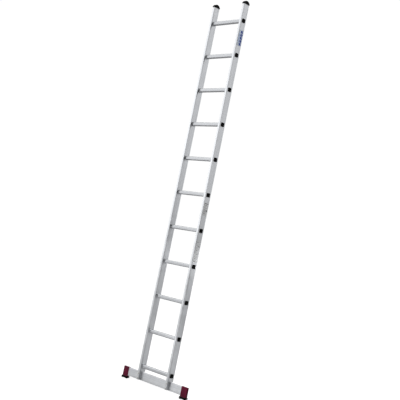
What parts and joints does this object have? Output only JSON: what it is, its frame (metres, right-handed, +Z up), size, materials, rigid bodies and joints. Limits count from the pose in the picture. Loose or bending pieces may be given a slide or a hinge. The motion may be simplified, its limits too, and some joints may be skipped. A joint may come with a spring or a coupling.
{
  "type": "leaning ladder",
  "caption": "Single-section aluminium leaning ladder with square rungs, hollow stiles and a stabiliser bar with rubber feet, at its working lean.",
  "frame": {"origin": "on the floor, midway between the two feet", "axes": "+Z up, +X to the climber's right along the rungs, +Y towards the wall; the stiles lean back 16 degrees from +Z towards +Y"},
  "size_m": [0.7462, 0.8997, 2.9737],
  "materials": {
    "aluminium": "satin extruded",
    "steel": "zinc plated",
    "maroon_plastic": "moulded, fine grain",
    "black_plastic": "moulded, satin",
    "black_rubber": "matt ribbed",
    "label_film": "printed film"
  },
  "bodies": {
    "root": {"bar_bolt_left_lower": "steel", "bar_bolt_left_upper": "steel", "bar_bolt_right_lower": "steel", "bar_bolt_right_upper": "steel", "bar_end_cap_left": "maroon_plastic", "bar_end_cap_right": "maroon_plastic", "bar_insert_left": "black_plastic", "bar_insert_right": "black_plastic", "bar_nut_left_lower": "steel", "bar_nut_left_upper": "steel", "bar_nut_right_lower": "steel", "bar_nut_right_upper": "steel", "care_label": "label_film", "foot_sole_left": "black_rubber", "foot_sole_right": "black_rubber", "name_label": "label_film", "rung_01": "aluminium", "rung_02": "aluminium", "rung_03": "aluminium", "rung_04": "aluminium", "rung_05": "aluminium", "rung_06": "aluminium", "rung_07": "aluminium", "rung_08": "aluminium", "rung_09": "aluminium", "rung_10": "aluminium", "rung_11": "aluminium", "rung_plug_left_01": "black_plastic", "rung_plug_left_02": "black_plastic", "rung_plug_left_03": "black_plastic", "rung_plug_left_04": "black_plastic", "rung_plug_left_05": "black_plastic", "rung_plug_left_06": "black_plastic", "rung_plug_left_07": "black_plastic", "rung_plug_left_08": "black_plastic", "rung_plug_left_09": "black_plastic", "rung_plug_left_10": "black_plastic", "rung_plug_left_11": "black_plastic", "rung_plug_right_01": "black_plastic", "rung_plug_right_02": "black_plastic", "rung_plug_right_03": "black_plastic", "rung_plug_right_04": "black_plastic", "rung_plug_right_05": "black_plastic", "rung_plug_right_06": "black_plastic", "rung_plug_right_07": "black_plastic", "rung_plug_right_08": "black_plastic", "rung_plug_right_09": "black_plastic", "rung_plug_right_10": "black_plastic", "rung_plug_right_11": "black_plastic", "stabiliser_bar": "aluminium", "stile_left": "aluminium", "stile_right": "aluminium", "stile_top_cap_left": "black_plastic", "stile_top_cap_right": "black_plastic", "tongue_spacer_left": "black_plastic", "tongue_spacer_right": "black_plastic", "use_label": "label_film"}
  },
  "joints": []
}
